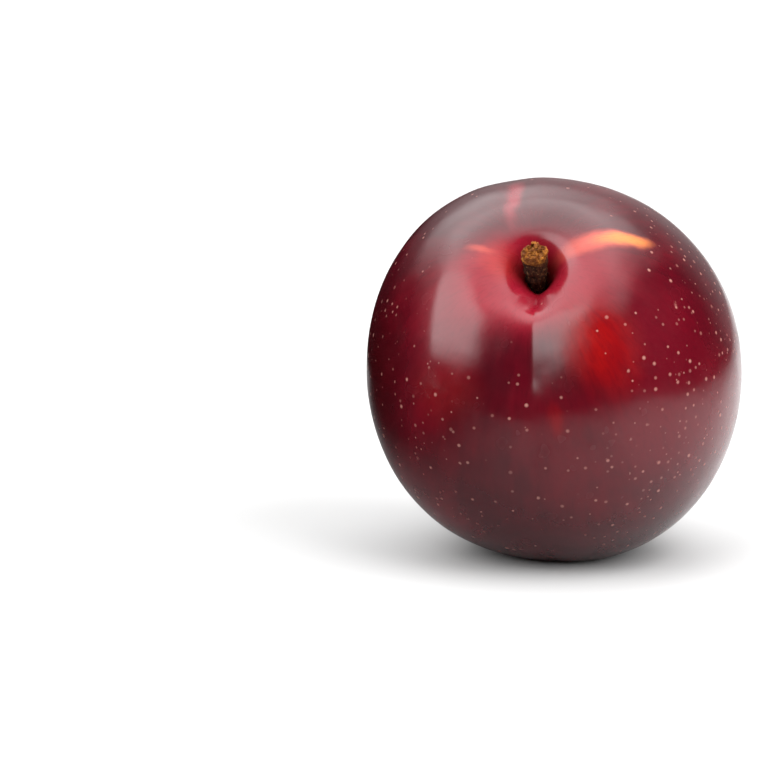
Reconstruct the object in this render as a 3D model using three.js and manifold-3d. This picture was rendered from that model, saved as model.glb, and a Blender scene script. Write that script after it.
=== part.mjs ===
// A whole dark red plum lying on its flank, with the short dried stalk that it was picked with.
// Millimetres, +Z up. The origin is on the table, under the middle of the fruit, and the seam's side is -Y.
// The fruit is shaped in its own frame first, with the stalk end up along +Z and the seam towards -Y.
// It is then leaned towards -Y, as it lies.

import * as THREE from 'three';
import { mergeVertices } from 'three/addons/utils/BufferGeometryUtils.js';
import Module from 'manifold-3d';

const DEGREE = Math.PI / 180;

// The round body, before anything is drawn in
const WIDTH = 62.0; // across the two cheeks
const DEPTH = 63.0; // from the seam to the far side
const LENGTH = 62.4; // from the stalk end to the blossom end
const MEAN_RADIUS = (WIDTH + DEPTH + LENGTH) / 6;

// Where the body is a little fuller than round, each with the polar angle and azimuth of its middle
const FULL_SHOULDER = { polar: 56, azimuth: 138, rise: 1.5, reach: 30 };
const FULL_FLANK = { polar: 124, azimuth: -44, rise: 1.2, reach: 31 };
const FULL_CHEEK = { polar: 114, azimuth: -132, rise: 0.45, reach: 22 };

// The seam runs from the stalk end to the blossom end. It notches the cavity's lip, and it leaves the
// cavity in a wide valley, pressed in by strokes that begin together and end one after the other.
const SEAM_AZIMUTH = -87.2;
const VALLEY = { from: 16, stops: [28, 46, 64, 82], depth: 0.8, reach: 17 };
const NOTCH = { from: 0, to: 15, depth: 2.4, reach: 4.6 };
const LIP_CREASE = { from: 8, to: 42, depth: 0.5, reach: 5 };
const SEAM = { from: 38, to: 170, depth: 0.25, reach: 6 };

// A faint groove that leaves the cavity on its far side
const BACK_GROOVE = { from: 16, to: 48, azimuth: 109, depth: 0.35, reach: 6 };

// The stalk cavity, a shallow dish that steepens into a funnel, and the dimple of the style scar
const DISH = { depth: 1.7, reach: 13 };
const FUNNEL = { depth: 8.8, reach: 6.0 };
const STYLE_DIMPLE = { depth: 0.6, reach: 4 };

// How the fruit lies: its lean towards -Y, its turn about the upright, and the flat spot under it
const LEAN = 41 * DEGREE;
const TURN = -9 * DEGREE;
const FOOT_DISTANCE = 30.5; // from the fruit's centre down to the table
const FOOT_EDGE = 0.3; // half the height over which the skin rounds into the flat spot

// The skin's facets, closer together at both ends and along the seam
const COLUMNS = 68;
const ROWS = 52;
const CROWD_COLUMNS = 0.55;
const CROWD_ROWS = 0.5;
const GRIP_STEP = 2; // degrees between the points that a long push is held by
const WELD_DISTANCE = 1e-4;

// The stalk: its foot stands in a socket in the cavity's floor, and it flares to the end that broke off
const STALK_FOOT = 17.9; // height of its foot over the fruit's centre
const STALK_ASIDE = -0.6; // its foot's distance from the fruit's axis, along X
const STALK_LENGTH = 13;
const STALK_FOOT_RADIUS = 1.05;
const SOCKET_GAP = 0.3;
const SOCKET_RIM = { radius: 2.5, height: 25.5 }; // where the socket widens into the funnel
const SOCKET_TOP = 30; // any height clear of the funnel's wall, in the open cavity
const STALK_PROFILE = [
  [0, 0],
  [0.8, 0],
  [STALK_FOOT_RADIUS, 0.3],
  [STALK_FOOT_RADIUS, 1.6],
  [1.15, 2.6],
  [1.45, 4.2],
  [1.7, 6.0],
  [1.8, 7.8],
  [1.85, 9.4],
  [1.9, 10.8],
  [2.05, 11.9],
  [2.0, 12.6],
  [1.75, STALK_LENGTH],
  [1.2, 12.8],
  [0.6, 12.65],
  [0, 12.65],
]; // radius, and height over the foot
const STALK_SIDES = 24;
const STALK_RIDGES = 5;
const RIDGE_RISE = 0.07; // share of the radius
const RING_RISE = 0.045; // share of the radius
const RING_SPACING = 1.3;
const ROUND_FOOT = 2.2; // height over the foot where ridges and rings begin
const STALK_BEND = new THREE.Vector2(0.45, -0.2); // how far the end stands aside

// Colours as the daylight shows them
const SKIN_RED = 0x7a1420;
const STALK_BROWN = 0x7a5a2c;

// A point on the round body. Polar angle 0 is the stalk end, azimuth 0 is +X, both in degrees.
function onBody(polar, azimuth) {
  const across = Math.sin(polar * DEGREE);
  return new THREE.Vector3(
    (WIDTH / 2) * across * Math.cos(azimuth * DEGREE),
    (DEPTH / 2) * across * Math.sin(azimuth * DEGREE),
    (LENGTH / 2) * Math.cos(polar * DEGREE),
  );
}

// Points along one side of the body, from one polar angle to another
function alongBody(from, to, azimuth) {
  const steps = Math.round((to - from) / GRIP_STEP);
  const polarAt = (step) => from + ((to - from) * step) / steps;
  return Array.from({ length: steps + 1 }, (_, step) => onBody(polarAt(step), azimuth));
}

// How a push fades with distance: rounded at both ends, or creased to a point where it is held
function rounded(share) {
  return share * share * (3 - 2 * share);
}

function creased(share) {
  return share * share;
}

// Two kinds of push: towards or away from the fruit's centre, and straight up or down its axis
function outward(rise) {
  return (point, weight) => point.multiplyScalar(1 + (weight * rise) / MEAN_RADIUS);
}

function upward(rise) {
  return (point, weight) => point.setZ(point.z + weight * rise);
}

// A push moves a point by its nearness to the closest grip, as a thumb does on clay. The grips are given
// as points of the round body, and they have gone along with every earlier push.
function push(earlier, grips, reach, fade, move) {
  const held = grips.map((grip) => earlier.reduce((point, pushed) => pushed(point), grip));
  return (point) => {
    const distance = Math.min(...held.map((grip) => grip.distanceTo(point)));
    return move(point, fade(Math.max(0, 1 - distance / reach)));
  };
}

// All the pushes that turn the round body into the fruit, in their order
function clayPushes() {
  const pushes = [];
  const add = (grips, reach, fade, move) => pushes.push(push([...pushes], grips, reach, fade, move));
  for (const full of [FULL_SHOULDER, FULL_FLANK, FULL_CHEEK]) {
    add([onBody(full.polar, full.azimuth)], full.reach, rounded, outward(full.rise));
  }
  for (const stop of VALLEY.stops) {
    add(alongBody(VALLEY.from, stop, SEAM_AZIMUTH), VALLEY.reach, rounded, outward(-VALLEY.depth));
  }
  for (const crease of [NOTCH, LIP_CREASE, SEAM]) {
    add(alongBody(crease.from, crease.to, SEAM_AZIMUTH), crease.reach, creased, outward(-crease.depth));
  }
  const back = alongBody(BACK_GROOVE.from, BACK_GROOVE.to, BACK_GROOVE.azimuth);
  add(back, BACK_GROOVE.reach, creased, outward(-BACK_GROOVE.depth));
  add([onBody(180, 0)], STYLE_DIMPLE.reach, rounded, upward(STYLE_DIMPLE.depth));
  add([onBody(0, 0)], DISH.reach, rounded, upward(-DISH.depth));
  add([onBody(0, 0)], FUNNEL.reach, creased, upward(-FUNNEL.depth));
  return pushes;
}

// Leaves only corner positions, joins the corners that lie together and drops the empty triangles
function weld(geometry) {
  geometry.deleteAttribute('normal');
  geometry.deleteAttribute('uv');
  const welded = mergeVertices(geometry, WELD_DISTANCE);
  const corners = Array.from(welded.index.array);
  const kept = [];
  for (let i = 0; i < corners.length; i += 3) {
    const [a, b, c] = corners.slice(i, i + 3);
    if (a !== b && b !== c && c !== a) {
      kept.push(a, b, c);
    }
  }
  welded.setIndex(kept);
  return welded;
}

// The round body, with its facets crowded towards the seam, the far side and both ends
function roundBody() {
  const body = new THREE.SphereGeometry(1, COLUMNS, ROWS);
  body.rotateX(Math.PI / 2);
  const skin = body.attributes.position;
  const point = new THREE.Vector3();
  for (let i = 0; i < skin.count; i += 1) {
    point.fromBufferAttribute(skin, i);
    const evenPolar = Math.acos(THREE.MathUtils.clamp(point.z, -1, 1));
    const evenTurn = Math.atan2(point.x, -point.y);
    const polar = evenPolar - (CROWD_ROWS / 2) * Math.sin(2 * evenPolar);
    const turn = evenTurn - (CROWD_COLUMNS / 2) * Math.sin(2 * evenTurn);
    point.copy(onBody(polar / DEGREE, SEAM_AZIMUTH + turn / DEGREE));
    skin.setXYZ(i, point.x, point.y, point.z);
  }
  return weld(body);
}

// Presses the skin flat where it meets the table, with a rounded edge
function flattenFoot(skin) {
  const down = new THREE.Vector3(0, -Math.sin(LEAN), -Math.cos(LEAN));
  const point = new THREE.Vector3();
  for (let i = 0; i < skin.count; i += 1) {
    point.fromBufferAttribute(skin, i);
    const below = point.dot(down) - FOOT_DISTANCE;
    const inEdge = THREE.MathUtils.clamp(FOOT_EDGE - below, 0, 2 * FOOT_EDGE);
    const eased = below < -FOOT_EDGE ? below : -(inEdge * inEdge) / (4 * FOOT_EDGE);
    point.addScaledVector(down, eased - below);
    skin.setXYZ(i, point.x, point.y, point.z);
  }
}

const wasm = await Module();
wasm.setup();

function solidOf(geometry) {
  const corners = new Float32Array(geometry.attributes.position.array);
  return new wasm.Manifold(
    new wasm.Mesh({ numProp: 3, vertProperties: corners, triVerts: new Uint32Array(geometry.index.array) }),
  );
}

function geometryOf(solid) {
  const mesh = solid.getMesh();
  const geometry = new THREE.BufferGeometry();
  geometry.setAttribute('position', new THREE.BufferAttribute(mesh.vertProperties, 3));
  geometry.setIndex(new THREE.BufferAttribute(mesh.triVerts, 1));
  return geometry;
}

// A closed turned piece along +Z, from its radii and heights
function turned(profile, sides) {
  const outline = profile.map(([radius, height]) => new THREE.Vector2(radius, height));
  const piece = new THREE.LatheGeometry(outline, sides);
  piece.rotateX(Math.PI / 2);
  return weld(piece);
}

// The socket is the stalk's foot with the gap all round it, and it widens into the open funnel
function socket() {
  const radius = STALK_FOOT_RADIUS + SOCKET_GAP;
  const floor = STALK_FOOT - SOCKET_GAP;
  const shoulder = STALK_FOOT + ROUND_FOOT;
  const rim = SOCKET_RIM.radius;
  const foot = [[0, floor], [radius, floor], [radius, shoulder]];
  const mouth = [[rim, SOCKET_RIM.height], [rim, SOCKET_TOP], [0, SOCKET_TOP]];
  const bore = turned([...foot, ...mouth], STALK_SIDES);
  bore.translate(STALK_ASIDE, 0, 0);
  return bore;
}

function fruitGeometry() {
  const body = roundBody();
  const skin = body.attributes.position;
  const pushes = clayPushes();
  const point = new THREE.Vector3();
  for (let i = 0; i < skin.count; i += 1) {
    point.fromBufferAttribute(skin, i);
    pushes.forEach((pushed) => pushed(point));
    skin.setXYZ(i, point.x, point.y, point.z);
  }
  flattenFoot(skin);
  return geometryOf(solidOf(body).subtract(solidOf(socket())));
}

// The stalk's bark has low ridges along it and rings across it, which fade out at its round foot
function stalkGeometry() {
  const stalk = turned(STALK_PROFILE, STALK_SIDES);
  const bark = stalk.attributes.position;
  const point = new THREE.Vector3();
  for (let i = 0; i < bark.count; i += 1) {
    point.fromBufferAttribute(bark, i);
    const around = Math.atan2(point.y, point.x);
    const rough = THREE.MathUtils.smoothstep(point.z, ROUND_FOOT, STALK_LENGTH);
    const ridges = RIDGE_RISE * Math.cos(STALK_RIDGES * around);
    const rings = RING_RISE * Math.cos((2 * Math.PI * point.z) / RING_SPACING);
    const swell = 1 + rough * (ridges + rings);
    const aside = rough * rough;
    bark.setXYZ(i, point.x * swell + STALK_BEND.x * aside, point.y * swell + STALK_BEND.y * aside, point.z);
  }
  return stalk;
}

function piece(name, geometry, colour, roughness) {
  geometry.computeVertexNormals();
  const finish = new THREE.MeshStandardMaterial({ color: colour, roughness, metalness: 0 });
  const mesh = new THREE.Mesh(geometry, finish);
  mesh.name = name;
  return mesh;
}

const fruit = piece('fruit', fruitGeometry(), SKIN_RED, 0.28);
const stem = piece('stem', stalkGeometry(), STALK_BROWN, 0.9);
stem.position.set(STALK_ASIDE, 0, STALK_FOOT);

// The fruit with its stalk leans and turns as one, and then stands over the origin
const lying = new THREE.Group();
lying.rotation.set(LEAN, 0, TURN, 'ZYX');
lying.add(fruit, stem);
const plum = new THREE.Group();
plum.name = 'plum';
plum.add(lying);
plum.updateMatrixWorld(true);
const box = new THREE.Box3().setFromObject(plum, true);
lying.position.set(-(box.min.x + box.max.x) / 2, -(box.min.y + box.max.y) / 2, FOOT_DISTANCE);

export default plum;
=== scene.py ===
# A whole dark red plum with its dried stalk, dressed over its solids. Metres, +Z up.
import math

import bpy
from mathutils import Euler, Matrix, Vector


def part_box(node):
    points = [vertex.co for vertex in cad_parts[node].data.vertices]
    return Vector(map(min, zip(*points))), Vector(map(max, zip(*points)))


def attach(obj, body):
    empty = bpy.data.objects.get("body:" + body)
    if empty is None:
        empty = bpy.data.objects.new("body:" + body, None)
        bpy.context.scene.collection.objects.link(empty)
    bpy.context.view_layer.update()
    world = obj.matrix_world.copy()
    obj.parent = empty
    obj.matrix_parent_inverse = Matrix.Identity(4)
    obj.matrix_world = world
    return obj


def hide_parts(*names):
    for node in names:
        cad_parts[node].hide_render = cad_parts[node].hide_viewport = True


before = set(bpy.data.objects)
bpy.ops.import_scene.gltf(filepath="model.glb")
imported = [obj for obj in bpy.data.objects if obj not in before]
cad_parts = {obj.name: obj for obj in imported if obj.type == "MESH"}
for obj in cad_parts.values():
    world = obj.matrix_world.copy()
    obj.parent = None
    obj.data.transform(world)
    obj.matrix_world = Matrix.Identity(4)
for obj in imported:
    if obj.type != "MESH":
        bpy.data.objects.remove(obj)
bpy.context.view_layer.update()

MM = 0.001
DEGREE = math.pi / 180

# The round body before anything is drawn in, and where it is a little fuller than round
WIDTH, DEPTH, LENGTH = 62.0 * MM, 63.0 * MM, 62.4 * MM
MEAN_RADIUS = (WIDTH + DEPTH + LENGTH) / 6
FULL_SHOULDER = {"polar": 56, "azimuth": 138, "rise": 1.5 * MM, "reach": 30 * MM}
FULL_FLANK = {"polar": 124, "azimuth": -44, "rise": 1.2 * MM, "reach": 31 * MM}
FULL_CHEEK = {"polar": 114, "azimuth": -132, "rise": 0.45 * MM, "reach": 22 * MM}

# The seam and the valley in which it leaves the cavity, and the faint groove on the far side
SEAM_AZIMUTH = -87.2
VALLEY = {"start": 16, "stops": (28, 46, 64, 82), "depth": 0.8 * MM, "reach": 17 * MM}
NOTCH = {"start": 0, "stop": 15, "depth": 2.4 * MM, "reach": 4.6 * MM}
LIP_CREASE = {"start": 8, "stop": 42, "depth": 0.5 * MM, "reach": 5 * MM}
SEAM = {"start": 38, "stop": 170, "depth": 0.25 * MM, "reach": 6 * MM}
BACK_AZIMUTH = 109
BACK_GROOVE = {"start": 16, "stop": 48, "depth": 0.35 * MM, "reach": 6 * MM}

# The stalk cavity, a wide dish that steepens into a funnel, and the dimple of the style scar
DISH = {"depth": 1.7 * MM, "reach": 13 * MM}
FUNNEL = {"depth": 8.8 * MM, "reach": 6.0 * MM}
RIM = {"inside": 4.2 * MM, "outside": 8.5 * MM, "notch": 2.2 * MM, "passes": 7}
STYLE_DIMPLE = {"depth": 0.6 * MM, "reach": 4 * MM}

# How the fruit lies
LEAN = 41 * DEGREE
TURN = -9 * DEGREE
FOOT_DISTANCE = 30.5 * MM

# The mesh that is shaped, and the waves of the skin: name, length and height
COLUMNS = 128
ROWS = 96
WAVES = (("low_waves", 13 * MM, 0.16 * MM), ("small_waves", 4.5 * MM, 0.065 * MM))

# Skin that lies lower than this over the table is pressed flat again after the waves
FLAT_EDGE = 0.1 * MM

# The skin's colours, as red, green and blue light given back
MAROON = (0.037, 0.0008, 0.0035)
DEEP_RED = (0.086, 0.0015, 0.006)
# Painted light: a brighter red for the shoulders round the cavity, standing in for the overhead light that
# falls on them
LIT_SHOULDER_RED = (0.2, 0.0055, 0.015)
WINDOW_RED = (0.18, 0.002, 0.0025)
SHADE_RED = (0.016, 0.0003, 0.0003)
# The next three colours are painted glow: light shining through the skin beside the cavity, in the orange of
# the flesh beneath
GLOW_RED = (0.34, 0.02, 0.012)
GLOW_SALMON = (0.44, 0.065, 0.042)
GLOW_ORANGE = (0.44, 0.13, 0.02)
STRIPE_PINK = (0.22, 0.02, 0.03)
DOT_TAN = (0.36, 0.16, 0.13)
SCAR_BROWN = (0.12, 0.06, 0.03)

# The stalk's bark and the wood of its broken end
BARK_DARK = (0.012, 0.004, 0.0025)
BARK_BROWN = (0.045, 0.014, 0.007)
BARK_TAN = (0.2, 0.1, 0.045)
WOOD_BROWN = (0.08, 0.02, 0.0035)
WOOD_GOLD = (0.27, 0.1, 0.016)

# Marks on the skin, in millimetres and degrees in the fruit's own frame: the middle, the half lengths and
# the turn about the stalk's axis
RED_WINDOW = {"middle": (11.6, -13.6, 24.5), "half": (12, 8.5, 12), "turn": -58}
CAVITY_RED = {"middle": (0, 0, 21.5), "half": (6, 6, 10), "turn": 0}
RED_CHEEK = {"middle": (22, -12, 14), "half": (17, 17, 22), "turn": 0}
# The next mark is painted light: the shoulders round the cavity in a brighter red, where the overhead light
# falls on them
PAINTED_LIGHT_ON_SHOULDERS = {"middle": (-1, -3, 26), "half": (19, 12, 9), "turn": 4}
LEFT_SHADE = {"middle": (-29, -8, 6), "half": (16, 24, 28), "turn": 0}
# The next four marks are painted glow: bright orange and salmon streaks on the shoulders either side of the
# cavity, where light shines through the skin
STREAK_GLOW = {"middle": (10, 4.1, 27), "half": (10.5, 2.6, 9), "turn": 23}
GLOW_STREAK_CORE = {"middle": (13.2, 5.5, 27), "half": (6.3, 1.9, 9), "turn": 23}
LEFT_GLOW = {"middle": (-6.0, -0.6, 27), "half": (5.2, 4.6, 9), "turn": -20}
LEFT_GLOW_STREAK = {"middle": (-9.4, 1.2, 28), "half": (3.6, 0.9, 9), "turn": -5}
PINK_STRIPE = {"middle": (-5.6, 13.5, 27), "half": (1.9, 10.5, 12), "turn": 8}
# The next mark is painted light too: the lit shoulders' red, laid on the front left shoulder
PAINTED_LIGHT_FRONT_LEFT = {"middle": (-13, -12, 24), "half": (10, 10, 8), "turn": 0}
RED_LOW_LEFT = {"middle": (-13, -20, 19), "half": (9, 7, 8), "turn": 0}
SEAM_SMEAR = {"middle": (5.0, -23.4, 18), "half": (1.9, 3.2, 5), "turn": 0}
CAVITY_DUST = {"middle": (0.8, 0, 23), "half": (9, 9, 11), "turn": 0}
SCAR_SPOT = {"middle": (0, 0, -31), "half": (1.5, 1.5, 3), "turn": 0}

# How strongly the marks are laid on, one over the other, in this order
PAINT = (
    (LEFT_SHADE, SHADE_RED, 0.75),
    (PINK_STRIPE, STRIPE_PINK, 0.6),
    (CAVITY_RED, WINDOW_RED, 0.8),
    # The next four lay on painted glow: light shining through the skin beside the cavity
    (LEFT_GLOW, GLOW_RED, 0.42),
    (STREAK_GLOW, GLOW_SALMON, 0.9),
    (LEFT_GLOW_STREAK, GLOW_SALMON, 0.45),
    (GLOW_STREAK_CORE, GLOW_ORANGE, 1.0),
    (SEAM_SMEAR, WINDOW_RED, 0.4),
    (RED_LOW_LEFT, WINDOW_RED, 0.35),
    # Painted light: the lit shoulders' red laid on the front left shoulder
    (PAINTED_LIGHT_FRONT_LEFT, LIT_SHOULDER_RED, 0.4),
    (SCAR_SPOT, SCAR_BROWN, 1.0),
)

# The pale dots: their spacing in the depth of the skin, their radius, and how far they hide the red
DOT_SPACING = 1.35 * MM
DOT_RADIUS = 0.34 * MM
DOT_STRENGTH = 0.75

# Where the dots thin out: towards the cavity, towards the middle and towards the shaded left side
DOTS_FROM_TOP = (28 * MM, 21 * MM)
DOTS_FROM_MIDDLE = (6 * MM, 20 * MM)
DOTS_FROM_LEFT = (-22 * MM, -8 * MM)

# The sizes of what varies over the skin
RIPENESS = 22 * MM
FRAY_SIZE = 6 * MM
FRAY_REACH = 1.2 * MM
GLOSS_BLOTS = 4 * MM
GRAIN = 0.7 * MM
SWELLS = 2.6 * MM
SKIN_RELIEF = 0.03 * MM

# Streaks that run from the stalk to the blossom end: how many, and how soon they change on the way
STREAKS = (14, 12)
FINE_STREAKS = (30, 25)

# The skin's gloss, from its most to its least polished, what dust and dots add to it, and the wax over it
SKIN_ROUGHNESS = (0.185, 0.285)
DUST_ROUGHNESS = 0.14
DOT_ROUGHNESS = 0.3
SKIN_WAX = {"IOR": 1.36, "Coat Weight": 0.3, "Coat Roughness": 0.13, "Coat IOR": 1.45}

# The stalk, from its foot in the cavity's floor to the end that broke off. A section is a height over the
# foot and a radius, in millimetres. The end is then hollowed in two steps: the share of the width that is
# left, and how far it drops, in millimetres.
STALK_FOOT = 17.9 * MM
STALK_ASIDE = -0.6 * MM
STALK_LENGTH = 13 * MM
STALK_SIDES = 24
STALK_SECTIONS = (
    (0.0, 1.05), (1.6, 1.05), (2.6, 1.15), (4.2, 1.45), (6.0, 1.7), (7.8, 1.8),
    (9.4, 1.85), (10.8, 1.9), (11.9, 2.05), (12.6, 2.0), (13.0, 1.75),
)
STALK_END = ((0.7, 0.2), (0.5, 0.15))
STALK_BEND = (0.45 * MM, -0.2 * MM, 0)

# What roughens the stalk: name, size, height, and how the cloud is squeezed along X, Y and Z
STALK_RELIEF = (
    ("fibres", 0.7 * MM, 0.32 * MM, (1, 1, 0.18)),
    ("rings", 0.6 * MM, 0.26 * MM, (0.25, 0.25, 1)),
    ("knots", 0.45 * MM, 0.3 * MM, (1, 1, 1)),
)

# The sizes of what shows in the bark, drawn out or pressed along the stalk, and its relief
BARK_FIBRES = 0.35 * MM
FIBRE_STRETCH = (1, 1, 0.2)
BARK_FLECKS = 0.5 * MM
WOOD_KNOTS = 0.8 * MM
KNOT_STRETCH = (1, 1, 2.5)
BARK_RELIEF = 0.12 * MM

# How far below the stalk's end the bark gives way to wood, from all bark to all wood, and how ragged
BARK_ENDS = 2.0 * MM
WOOD_STARTS = 0.9 * MM
RAGGED = 2 * MM

# The photograph's frame: where the plum's middle falls in it, in pixels, and how large it is there
PHOTO_SIDE = 770
PLUM_ACROSS = 553.5
PLUM_DOWN = 368.5
PIXELS_PER_METRE = 6030
CAMERA_DISTANCE = 0.59
CAMERA_ELEVATION = 11 * DEGREE
SENSOR_WIDTH = 36

# The light tent. Each panel lies flat overhead until its facing turns it, in degrees about X, Y and Z.
# Across and along say how far it reaches from there, as shares of its distance, and fade how softly it
# ends. A radiance of 1 makes a white thing just full white.
PANELS = (
    {"facing": (0, 0, -8), "across": (-1.3, 0.64), "along": (-0.58, 0.95), "fade": 0.42, "radiance": 3.9},
    {"facing": (0, 0, 0), "across": (-1.4, 0.25), "along": (0.6, 1.8), "fade": 1.0, "radiance": 3.1},
    {
        "facing": (47.5, -7.4, -43.3), "across": (-0.74, 0.42), "along": (-0.46, 0.3), "fade": 0.15,
        "radiance": 5.7,
    },
    {"facing": (90, 0, 180), "across": (-1.1, 0.9), "along": (-0.2, 0.9), "fade": 0.9, "radiance": 0.5},
)
TENT_SHADE = 0.03

# A panel lights only its own side of the sky, and its edges are reckoned no nearer than this
HORIZON = 0.05
NEAREST = 0.01

# The lamp that fills in the shadows: where it hangs, its side and its power in watts
FILL_PLACE = (0.36, -0.2, 0.32)
FILL_SIZE = 0.5
FILL_WATTS = 5.6

# The table: its side, and where its front and right edges lie
TABLE = 8
TABLE_FRONT = -0.28
TABLE_RIGHT = 0.4
TABLE_WHITE = (0.46, 0.46, 0.46)
TABLE_ROUGHNESS = 0.6

# Dark cards beside and on the table, which only the skin's gloss shows, in place of the darker room that
# it mirrors: each one's middle, its width and height, and its turn in degrees. They fade towards the edge.
CARDS = (
    ("upright_card", (-0.13, 0.10, 0), (0.6, 0.27), (90, 0, 50)),
    ("lying_card", (-0.2, 0.0, 0.0005), (0.5, 0.6), (0, 0, 0)),
    ("front_card", (0.05, -0.42, 0.0008), (1.5, 0.74), (0, 0, 0)),
    ("right_card", (0.5, 0.0, 0.0011), (0.8, 2.0), (0, 0, 0)),
)
CARD_DARK = (0.01, 0.003, 0.004)
CARD_FADE = 0.5


def select_only(piece):
    bpy.ops.object.select_all(action="DESELECT")
    piece.select_set(True)
    bpy.context.view_layer.objects.active = piece


def hold(piece, corners):
    """Opens a piece for shaping with only the given corners selected."""
    select_only(piece)
    bpy.ops.object.mode_set(mode="EDIT")
    bpy.ops.mesh.select_mode(type="VERT")
    bpy.ops.mesh.select_all(action="DESELECT")
    bpy.ops.object.mode_set(mode="OBJECT")
    for number in corners:
        piece.data.vertices[number].select = True
    bpy.ops.object.mode_set(mode="EDIT")


def let_go():
    bpy.ops.object.mode_set(mode="OBJECT")


def on_body(polar, azimuth):
    """A point on the round body. Polar angle 0 is the stalk end, azimuth 0 is +X, in degrees."""
    across = math.sin(polar * DEGREE)
    return Vector((
        WIDTH / 2 * across * math.cos(azimuth * DEGREE),
        DEPTH / 2 * across * math.sin(azimuth * DEGREE),
        LENGTH / 2 * math.cos(polar * DEGREE),
    ))


def nearest(piece, place):
    """The corner nearest to a place, in a list of its own."""
    corners = piece.data.vertices
    return [min(range(len(corners)), key=lambda number: (corners[number].co - place).length)]


def top_corner(piece):
    """The corner on the axis at the stalk end, however deep it has been drawn in."""
    above = [corner for corner in piece.data.vertices if corner.co.z > 0]
    return [min(above, key=lambda corner: math.hypot(corner.co.x, corner.co.y)).index]


def along(piece, azimuth, start, stop):
    """The corners of the column nearest to an azimuth, from one polar angle to another."""
    half_step = 180 / COLUMNS
    found = []
    for corner in piece.data.vertices:
        x, y, z = corner.co
        polar = math.atan2(math.hypot(x, y), z) / DEGREE
        aside = (math.atan2(y, x) / DEGREE - azimuth + 180) % 360 - 180
        if start <= polar <= stop and abs(aside) <= half_step:
            found.append(corner.index)
    return found


def swell(piece, corners, rise, reach, fade):
    """Moves skin away from the fruit's centre, or towards it where rise is below zero."""
    hold(piece, corners)
    share = 1 + rise / MEAN_RADIUS
    bpy.ops.transform.resize(
        value=(share, share, share), center_override=(0, 0, 0), use_proportional_edit=True,
        proportional_edit_falloff=fade, proportional_size=reach,
    )
    let_go()


def lift(piece, corners, rise, reach, fade):
    """Moves skin up along the fruit's axis, or down where rise is below zero."""
    hold(piece, corners)
    bpy.ops.transform.translate(
        value=(0, 0, rise), use_proportional_edit=True,
        proportional_edit_falloff=fade, proportional_size=reach,
    )
    let_go()


def apply_modifier(piece, kind, **settings):
    modifier = piece.modifiers.new(kind.title(), kind)
    for name, value in settings.items():
        setattr(modifier, name, value)
    select_only(piece)
    bpy.ops.object.modifier_apply(modifier=modifier.name)


def apply_place(piece):
    select_only(piece)
    bpy.ops.object.transform_apply(location=True, rotation=True, scale=True)


def lean_over(piece):
    piece.rotation_euler = Euler((LEAN, 0, TURN))
    apply_place(piece)


def stand_at(piece, offset):
    piece.location = offset
    apply_place(piece)


def shape_fruit():
    """The fruit: a round body swollen, creased and drawn in as a thumb does on clay."""
    bpy.ops.object.select_all(action="DESELECT")
    bpy.ops.mesh.primitive_uv_sphere_add(segments=COLUMNS, ring_count=ROWS, radius=1)
    fruit = bpy.context.object
    fruit.name = "plum_skin"
    fruit.scale = (WIDTH / 2, DEPTH / 2, LENGTH / 2)
    apply_place(fruit)
    for full in (FULL_SHOULDER, FULL_FLANK, FULL_CHEEK):
        middle = nearest(fruit, on_body(full["polar"], full["azimuth"]))
        swell(fruit, middle, full["rise"], full["reach"], "SMOOTH")
    strokes = [along(fruit, SEAM_AZIMUTH, VALLEY["start"], stop) for stop in VALLEY["stops"]]
    for stroke in strokes:
        swell(fruit, stroke, -VALLEY["depth"], VALLEY["reach"], "SMOOTH")
    for crease in (NOTCH, LIP_CREASE, SEAM):
        line = along(fruit, SEAM_AZIMUTH, crease["start"], crease["stop"])
        swell(fruit, line, -crease["depth"], crease["reach"], "SHARP")
    groove = along(fruit, BACK_AZIMUTH, BACK_GROOVE["start"], BACK_GROOVE["stop"])
    swell(fruit, groove, -BACK_GROOVE["depth"], BACK_GROOVE["reach"], "SHARP")
    lift(fruit, nearest(fruit, on_body(180, 0)), STYLE_DIMPLE["depth"], STYLE_DIMPLE["reach"], "SMOOTH")
    lift(fruit, top_corner(fruit), -DISH["depth"], DISH["reach"], "SMOOTH")
    lift(fruit, top_corner(fruit), -FUNNEL["depth"], FUNNEL["reach"], "SHARP")
    smooth_rim(fruit)
    lean_over(fruit)
    press_flat(fruit, -FOOT_DISTANCE, -FOOT_DISTANCE)
    return fruit


def smooth_rim(fruit):
    """Rounds the rim where the cavity's dish turns down into its funnel, but not the seam's notch."""
    around = []
    for corner in fruit.data.vertices:
        x, y, z = corner.co
        notched = y < 0 and abs(x) < RIM["notch"]
        if z > 0 and RIM["inside"] < math.hypot(x, y) < RIM["outside"] and not notched:
            around.append(corner.index)
    hold(fruit, around)
    bpy.ops.mesh.vertices_smooth(factor=0.5, repeat=RIM["passes"])
    let_go()


def press_flat(fruit, below, floor):
    """Presses the skin that lies below one height flat onto another."""
    hold(fruit, [corner.index for corner in fruit.data.vertices if corner.co.z < below])
    bpy.ops.transform.resize(value=(1, 1, 0), center_override=(0, 0, floor))
    let_go()


def resting_offset(fruit):
    """From the fruit's own centre to where it rests in the frame."""
    low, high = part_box("fruit")
    widths = [corner.co.x for corner in fruit.data.vertices]
    depths = [corner.co.y for corner in fruit.data.vertices]
    aside = (low.x + high.x) / 2 - (min(widths) + max(widths)) / 2
    away = (low.y + high.y) / 2 - (min(depths) + max(depths)) / 2
    return Vector((aside, away, low.z + FOOT_DISTANCE))


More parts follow.
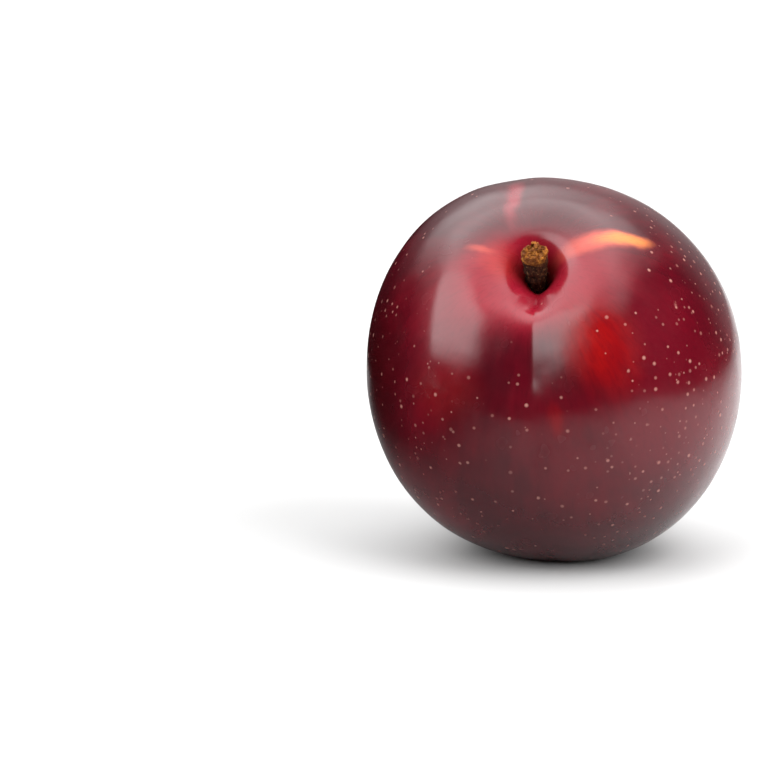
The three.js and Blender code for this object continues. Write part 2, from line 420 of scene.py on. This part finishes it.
def finish_skin(fruit):
    """Adds the slow, low waves of a real skin and rounds the facets."""
    for name, length, height in WAVES:
        waves = bpy.data.textures.new(name, "CLOUDS")
        waves.noise_scale = length
        waves.noise_depth = 1
        apply_modifier(fruit, "DISPLACE", texture=waves, strength=height, mid_level=0.5)
    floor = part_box("fruit")[0].z
    press_flat(fruit, floor + FLAT_EDGE, floor)
    apply_modifier(fruit, "SUBSURF", levels=1, render_levels=1)
    select_only(fruit)
    bpy.ops.object.shade_smooth()


def ring_at(stalk, height):
    """The corners of the stalk's ring at a height over its foot, in millimetres."""
    level = STALK_FOOT + height * MM
    return [corner.index for corner in stalk.data.vertices if abs(corner.co.z - level) < 1e-5]


def shape_stalk():
    """The stalk: a drawn-out stub, ridged and knotted, with fibres and a hollowed broken end."""
    bpy.ops.object.select_all(action="DESELECT")
    (_, foot_radius), (first_height, first_radius) = STALK_SECTIONS[:2]
    bpy.ops.mesh.primitive_cylinder_add(
        vertices=STALK_SIDES, radius=foot_radius * MM, depth=first_height * MM,
        location=(0, 0, STALK_FOOT + first_height * MM / 2),
    )
    stalk = bpy.context.object
    stalk.name = "stalk_bark"
    apply_place(stalk)
    height, radius = first_height, first_radius
    for next_height, next_radius in STALK_SECTIONS[2:]:
        hold(stalk, ring_at(stalk, height))
        bpy.ops.mesh.extrude_region_move(
            TRANSFORM_OT_translate={"value": (0, 0, (next_height - height) * MM)}
        )
        share = next_radius / radius
        bpy.ops.transform.resize(value=(share, share, 1), center_override=(0, 0, 0))
        let_go()
        height, radius = next_height, next_radius
    for share, drop in STALK_END:
        bpy.ops.object.mode_set(mode="EDIT")
        bpy.ops.mesh.extrude_region_move(TRANSFORM_OT_translate={"value": (0, 0, -drop * MM)})
        bpy.ops.transform.resize(value=(share, share, 1), center_override=(0, 0, 0))
        let_go()
    apply_modifier(stalk, "SUBSURF", levels=2, render_levels=2)
    roughen_stalk(stalk)
    bend_stalk(stalk)
    stand_at(stalk, (STALK_ASIDE, 0, 0))
    select_only(stalk)
    bpy.ops.object.shade_smooth()
    return stalk


def roughen_stalk(stalk):
    """Lays lengthwise fibres, cross rings and small knots on the stalk, each by a squeezed cloud."""
    for name, size, height, squeeze in STALK_RELIEF:
        stalk.scale = squeeze
        apply_place(stalk)
        cloud = bpy.data.textures.new(name, "CLOUDS")
        cloud.noise_scale = size
        apply_modifier(stalk, "DISPLACE", texture=cloud, strength=height, mid_level=0.5)
        stalk.scale = [1 / share for share in squeeze]
        apply_place(stalk)


def bend_stalk(stalk):
    """Pushes the stalk's end sideways, and the rest after it, less and less towards the foot."""
    top = STALK_FOOT + (STALK_LENGTH - 1 * MM)
    hold(stalk, [corner.index for corner in stalk.data.vertices if corner.co.z > top])
    bpy.ops.transform.translate(
        value=STALK_BEND, use_proportional_edit=True,
        proportional_edit_falloff="SMOOTH", proportional_size=STALK_LENGTH,
    )
    let_go()


def add_node(tree, kind, inputs=(), **settings):
    """Adds a shader node, with its settings and with values or links in its named inputs."""
    node = tree.nodes.new(kind)
    for name, value in settings.items():
        setattr(node, name, value)
    for name, value in dict(inputs).items():
        socket = node.inputs[name]
        if isinstance(value, bpy.types.NodeSocket):
            tree.links.new(value, socket)
        else:
            socket.default_value = value
    return node


def new_material(name):
    material = bpy.data.materials.new(name)
    material.use_nodes = True
    material.node_tree.nodes.clear()
    return material


def finish_material(material, shader):
    add_node(material.node_tree, "ShaderNodeOutputMaterial", {"Surface": shader.outputs["BSDF"]})
    return material


def framed(tree, place, middle, turn, size=(1, 1, 1)):
    """A place measured from a middle, along turned axes, as a share of a size."""
    return add_node(
        tree, "ShaderNodeMapping",
        {"Vector": place, "Location": middle, "Rotation": turn, "Scale": size}, vector_type="TEXTURE",
    ).outputs["Vector"]


def own_place(tree, offset):
    """The fruit's own frame: its stalk along Z, its seam towards -Y, its centre at zero."""
    place = add_node(tree, "ShaderNodeTexCoord").outputs["Object"]
    return framed(tree, place, offset, (LEAN, 0, TURN))


def parts_of(tree, place):
    """A place's X, Y and Z."""
    return add_node(tree, "ShaderNodeSeparateXYZ", {"Vector": place}).outputs


def noise(tree, place, size, detail=2.0, roughness=0.5):
    """Noise whose blots are about size across."""
    return add_node(
        tree, "ShaderNodeTexNoise",
        {"Vector": place, "Scale": 1 / size, "Detail": detail, "Roughness": roughness},
    ).outputs["Fac"]


def ease(tree, value, start, stop, low=0.0, high=1.0):
    """Goes smoothly from low to high while the value goes from start to stop."""
    return add_node(
        tree, "ShaderNodeMapRange",
        {"Value": value, "From Min": start, "From Max": stop, "To Min": low, "To Max": high},
        interpolation_type="SMOOTHSTEP",
    ).outputs["Result"]


def fill_sockets(tree, sockets, values):
    """Puts a value in each socket, or links it there."""
    for socket, value in zip(sockets, values):
        if isinstance(value, bpy.types.NodeSocket):
            tree.links.new(value, socket)
        else:
            socket.default_value = value


def reckon(tree, operation, first, second=0.0):
    node = add_node(tree, "ShaderNodeMath", operation=operation)
    fill_sockets(tree, node.inputs, (first, second))
    return node.outputs["Value"]


def plus(tree, first, second):
    return reckon(tree, "ADD", first, second)


def times(tree, first, second):
    return reckon(tree, "MULTIPLY", first, second)


def moved(tree, operation, *places):
    """Reckons with whole places instead of single numbers."""
    node = add_node(tree, "ShaderNodeVectorMath", operation=operation)
    fill_sockets(tree, node.inputs, places)
    return node.outputs["Vector"]


def tint(tree, share, ground, colour):
    """Lays a colour over the ground, by a share from 0 to 1."""
    node = add_node(tree, "ShaderNodeMix", data_type="RGBA")
    sockets = {socket.identifier: socket for socket in node.inputs}
    paints = [paint if isinstance(paint, bpy.types.NodeSocket) else (*paint, 1) for paint in (ground, colour)]
    fill_sockets(tree, [sockets[name] for name in ("Factor_Float", "A_Color", "B_Color")], (share, *paints))
    return {socket.identifier: socket for socket in node.outputs}["Result_Color"]


def depth_inside(tree, place):
    """1 at zero, and 0 from a distance of 1 outwards."""
    ball = add_node(tree, "ShaderNodeTexGradient", {"Vector": place}, gradient_type="SPHERICAL")
    return ball.outputs["Fac"]


def mark(tree, place, shape, start=0.0, stop=0.8):
    """A soft-edged mark on the skin: 1 at its middle and 0 from its half lengths outwards."""
    middle = [length * MM for length in shape["middle"]]
    half = [length * MM for length in shape["half"]]
    inside = framed(tree, place, middle, (0, 0, shape["turn"] * DEGREE), half)
    return ease(tree, depth_inside(tree, inside), start, stop)


def frayed(tree, place, size, reach):
    """The same place, moved about by noise, so that the edges of the marks fray."""
    cloud = add_node(tree, "ShaderNodeTexNoise", {"Vector": place, "Scale": 1 / size, "Detail": 3})
    aside = moved(tree, "SUBTRACT", cloud.outputs["Color"], (0.5, 0.5, 0.5))
    return moved(tree, "MULTIPLY_ADD", aside, (2 * reach, 2 * reach, 2 * reach), place)


def rays(tree, place, count, change):
    """Streaks that run from the stalk to the blossom end, as the skin grew."""
    ring = moved(tree, "NORMALIZE", moved(tree, "MULTIPLY", place, (1, 1, 0)))
    spot = moved(tree, "MULTIPLY_ADD", place, (change, change, change), ring)
    return noise(tree, spot, 1 / count)


def pale_dots(tree, place):
    """The skin's pale dots, each in a cell of its own, and each with its own size and strength."""
    cells = add_node(tree, "ShaderNodeTexVoronoi", {"Vector": place, "Scale": 1 / DOT_SPACING})
    chance = add_node(tree, "ShaderNodeSeparateColor", {"Color": cells.outputs["Color"]}).outputs
    kept = reckon(tree, "LESS_THAN", chance["Red"], dot_density(tree, place))
    radius = DOT_RADIUS / DOT_SPACING
    size = ease(tree, chance["Green"], 0, 1, 0.5 * radius, 1.05 * radius)
    inside = ease(tree, reckon(tree, "DIVIDE", cells.outputs["Distance"], size), 1.2, 0.3)
    strength = ease(tree, chance["Blue"], 0, 1, 0.35, 1.0)
    return times(tree, times(tree, inside, kept), strength)


def dot_density(tree, place):
    """How many cells hold a dot, from 0 for none to 1 for all."""
    side, _, height = parts_of(tree, place)
    from_top = ease(tree, height, *DOTS_FROM_TOP)
    from_middle = ease(tree, reckon(tree, "ABSOLUTE", side), *DOTS_FROM_MIDDLE)
    from_left = ease(tree, side, *DOTS_FROM_LEFT, 0.45, 1.0)
    return times(tree, times(tree, from_top, ease(tree, from_middle, 0, 1, 0.4, 1.0)), from_left)


def ripe_and_lit_colour(tree, place, frays, streaks):
    """The skin's red where no light comes through it: maroon, and redder where it is ripe or sunlit, with a
    brighter red on the shoulders as painted light, where the overhead light falls on them.
    """
    ripe = plus(tree, times(tree, noise(tree, place, RIPENESS, 3, 0.55), 0.8), times(tree, streaks, 0.2))
    colour = tint(tree, ease(tree, ripe, 0.34, 0.7), MAROON, DEEP_RED)
    colour = tint(tree, times(tree, mark(tree, frays, RED_CHEEK), 0.6), colour, DEEP_RED)
    # Painted light: the shoulders, lit from above, are laid on in a brighter red
    lit_shoulders = times(tree, mark(tree, frays, PAINTED_LIGHT_ON_SHOULDERS, 0, 0.5), 0.85)
    return tint(tree, lit_shoulders, colour, LIT_SHOULDER_RED)


def skin_colour(tree, place, dots):
    frays = frayed(tree, place, FRAY_SIZE, FRAY_REACH)
    streaks = rays(tree, place, *STREAKS)
    colour = ripe_and_lit_colour(tree, place, frays, streaks)
    window = times(tree, mark(tree, frays, RED_WINDOW, 0, 0.9), ease(tree, streaks, 0.3, 0.6, 0.7, 1.0))
    colour = tint(tree, window, colour, WINDOW_RED)
    for shape, paint, strength in PAINT:
        colour = tint(tree, times(tree, mark(tree, frays, shape), strength), colour, paint)
    fine_streaks = ease(tree, rays(tree, place, *FINE_STREAKS), 0.45, 0.75, 0, 0.2)
    colour = tint(tree, fine_streaks, colour, MAROON)
    return tint(tree, times(tree, dots, DOT_STRENGTH), colour, DOT_TAN)


def skin_roughness(tree, place, dots):
    """Waxy gloss in soft blots, duller in the cavity's dust and on the dots."""
    gloss = ease(tree, noise(tree, place, GLOSS_BLOTS, 1.5), 0.2, 0.8, *SKIN_ROUGHNESS)
    dust = times(tree, mark(tree, place, CAVITY_DUST, 0, 0.9), DUST_ROUGHNESS)
    return plus(tree, plus(tree, gloss, dust), times(tree, dots, DOT_ROUGHNESS))


def skin_bump(tree, place, dots):
    """Grain and low swells that are too fine for the mesh, and dots that stand a little proud."""
    grain = times(tree, noise(tree, place, GRAIN, 2), 0.3)
    relief = plus(tree, grain, plus(tree, noise(tree, place, SWELLS, 1), dots))
    bump = add_node(tree, "ShaderNodeBump", {"Height": relief, "Strength": 1.0, "Distance": SKIN_RELIEF})
    return bump.outputs["Normal"]


def skin_material(offset):
    material = new_material("plum_skin")
    tree = material.node_tree
    place = own_place(tree, offset)
    dots = pale_dots(tree, place)
    shader = add_node(tree, "ShaderNodeBsdfPrincipled", {
        "Base Color": skin_colour(tree, place, dots), "Roughness": skin_roughness(tree, place, dots),
        "Normal": skin_bump(tree, place, dots), **SKIN_WAX,
    })
    return finish_material(material, shader)


def bark_material(offset):
    """Dark brown fibres with tan flecks, and the golden wood of the broken end."""
    material = new_material("stalk_bark")
    tree = material.node_tree
    place = own_place(tree, offset)
    fibres = noise(tree, moved(tree, "MULTIPLY", place, FIBRE_STRETCH), BARK_FIBRES, 3)
    flecks = noise(tree, place, BARK_FLECKS, 3, 0.6)
    knots = noise(tree, moved(tree, "MULTIPLY", place, KNOT_STRETCH), WOOD_KNOTS, 2)
    bark = tint(tree, ease(tree, fibres, 0.4, 0.62), BARK_DARK, BARK_BROWN)
    bark = tint(tree, ease(tree, flecks, 0.56, 0.66, 0, 0.8), bark, BARK_TAN)
    wood = tint(tree, ease(tree, knots, 0.38, 0.6), WOOD_BROWN, WOOD_GOLD)
    wood = tint(tree, ease(tree, flecks, 0.58, 0.5, 0, 0.55), wood, WOOD_BROWN)
    ragged = times(tree, reckon(tree, "SUBTRACT", flecks, 0.5), RAGGED)
    height = plus(tree, parts_of(tree, place)["Z"], ragged)
    end = STALK_FOOT + STALK_LENGTH
    torn = ease(tree, height, end - BARK_ENDS, end - WOOD_STARTS)
    relief = plus(tree, fibres, flecks)
    bump = add_node(tree, "ShaderNodeBump", {"Height": relief, "Strength": 1.0, "Distance": BARK_RELIEF})
    shader = add_node(tree, "ShaderNodeBsdfPrincipled", {
        "Base Color": tint(tree, torn, bark, wood), "Roughness": ease(tree, fibres, 0.3, 0.7, 0.6, 0.9),
        "Normal": bump.outputs["Normal"], "Specular IOR Level": 0.15,
    })
    return finish_material(material, shader)


def dress(piece, node, material):
    piece.data.materials.clear()
    piece.data.materials.append(material)
    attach(piece, "root")
    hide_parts(node)


def add_plane(name, size, place):
    bpy.ops.object.select_all(action="DESELECT")
    bpy.ops.mesh.primitive_plane_add(size=size, location=place)
    plane = bpy.context.object
    plane.name = name
    return plane


def lay_table():
    table = add_plane("table", TABLE, (TABLE_RIGHT - TABLE / 2, TABLE_FRONT + TABLE / 2, 0))
    white = new_material("table_white")
    shader = add_node(white.node_tree, "ShaderNodeBsdfPrincipled", {
        "Base Color": (*TABLE_WHITE, 1), "Roughness": TABLE_ROUGHNESS,
    })
    table.data.materials.append(finish_material(white, shader))


def hang_card(name, place, size, turn):
    """A dark card that only the skin's gloss shows."""
    card = add_plane(name, 1, (0, 0, 0))
    card.scale = (*size, 1)
    card.rotation_euler = Euler([angle * DEGREE for angle in turn])
    card.location = place
    card.data.materials.append(card_material(name, place, size, Euler(card.rotation_euler)))
    apply_place(card)
    card.visible_camera = False
    card.visible_shadow = False
    card.visible_diffuse = False


def card_material(name, place, size, turn):
    """Dark in the card's middle and clear at its edge."""
    material = new_material(name)
    tree = material.node_tree
    spot = add_node(tree, "ShaderNodeTexCoord").outputs["Object"]
    inside = framed(tree, spot, place, turn, (size[0] / 2, size[1] / 2, 1))
    dark = add_node(tree, "ShaderNodeBsdfDiffuse", {"Color": (*CARD_DARK, 1)}).outputs["BSDF"]
    clear = add_node(tree, "ShaderNodeBsdfTransparent").outputs["BSDF"]
    blend = add_node(tree, "ShaderNodeMixShader")
    share = ease(tree, depth_inside(tree, inside), 0, CARD_FADE)
    fill_sockets(tree, blend.inputs, (share, clear, dark))
    add_node(tree, "ShaderNodeOutputMaterial", {"Surface": blend.outputs["Shader"]})
    return material


def panel(tree, way, shape):
    """The light of one flat panel of the tent, faded at its edges, for a direction seen from the plum."""
    facing = [angle * DEGREE for angle in shape["facing"]]
    x, y, z = parts_of(tree, framed(tree, way, (0, 0, 0), facing))
    light = ease(tree, z, 0, HORIZON, 0, shape["radiance"])
    distance = reckon(tree, "MAXIMUM", z, NEAREST)
    for side, (first, last) in ((x, shape["across"]), (y, shape["along"])):
        middle, half = (first + last) / 2, (last - first) / 2
        spread = reckon(tree, "DIVIDE", side, distance)
        aside = reckon(tree, "ABSOLUTE", reckon(tree, "SUBTRACT", spread, middle))
        light = times(tree, light, ease(tree, aside, half + shape["fade"], half - shape["fade"]))
    return light


def light_studio():
    """A light tent round the table: it lights the plum and mirrors in its skin, and the camera sees white."""
    world = bpy.data.worlds.new("light_tent")
    world.use_nodes = True
    tree = world.node_tree
    tree.nodes.clear()
    way = add_node(tree, "ShaderNodeTexCoord").outputs["Generated"]
    light = TENT_SHADE
    for shape in PANELS:
        light = reckon(tree, "MAXIMUM", light, panel(tree, way, shape))
    seen = add_node(tree, "ShaderNodeLightPath").outputs["Is Camera Ray"]
    strength = plus(tree, times(tree, light, reckon(tree, "SUBTRACT", 1.0, seen)), seen)
    back = add_node(tree, "ShaderNodeBackground", {"Color": (1, 1, 1, 1), "Strength": strength})
    add_node(tree, "ShaderNodeOutputWorld", {"Surface": back.outputs["Background"]})
    bpy.context.scene.world = world


def hang_fill():
    """A large soft lamp on the right that lightens the shadows and doesn't mirror in the skin."""
    data = bpy.data.lights.new("fill", "AREA")
    data.shape = "SQUARE"
    data.size = FILL_SIZE
    data.energy = FILL_WATTS
    lamp = bpy.data.objects.new("fill", data)
    lamp.location = FILL_PLACE
    lamp.rotation_euler = Vector(FILL_PLACE).to_track_quat("Z", "Y").to_euler()
    lamp.visible_glossy = False
    bpy.context.scene.collection.objects.link(lamp)


def place_camera(middle):
    """Looks past the plum's left side, so that the plum falls where the photograph has it."""
    back = Vector((0, -math.cos(CAMERA_ELEVATION), math.sin(CAMERA_ELEVATION)))
    up = Vector((0, math.sin(CAMERA_ELEVATION), math.cos(CAMERA_ELEVATION)))
    right = Vector((1, 0, 0))
    aside = (PHOTO_SIDE / 2 - PLUM_ACROSS) / PIXELS_PER_METRE
    above = (PLUM_DOWN - PHOTO_SIDE / 2) / PIXELS_PER_METRE
    spot = middle + aside * right + above * up
    camera = bpy.data.objects.new("camera", bpy.data.cameras.new("camera"))
    camera.data.sensor_width = SENSOR_WIDTH
    camera.data.lens = SENSOR_WIDTH * CAMERA_DISTANCE * PIXELS_PER_METRE / PHOTO_SIDE
    camera.location = middle + CAMERA_DISTANCE * back
    camera.rotation_euler = (camera.location - spot).to_track_quat("Z", "Y").to_euler()
    bpy.context.scene.collection.objects.link(camera)
    bpy.context.scene.camera = camera


fruit = shape_fruit()
offset = resting_offset(fruit)
stand_at(fruit, offset)
finish_skin(fruit)
stalk = shape_stalk()
lean_over(stalk)
stand_at(stalk, offset)
dress(fruit, "fruit", skin_material(offset))
dress(stalk, "stem", bark_material(offset))
lay_table()
for name, place, size, turn in CARDS:
    hang_card(name, place, size, turn)
light_studio()
hang_fill()
place_camera(offset)
bpy.context.scene.view_settings.view_transform = "Standard"
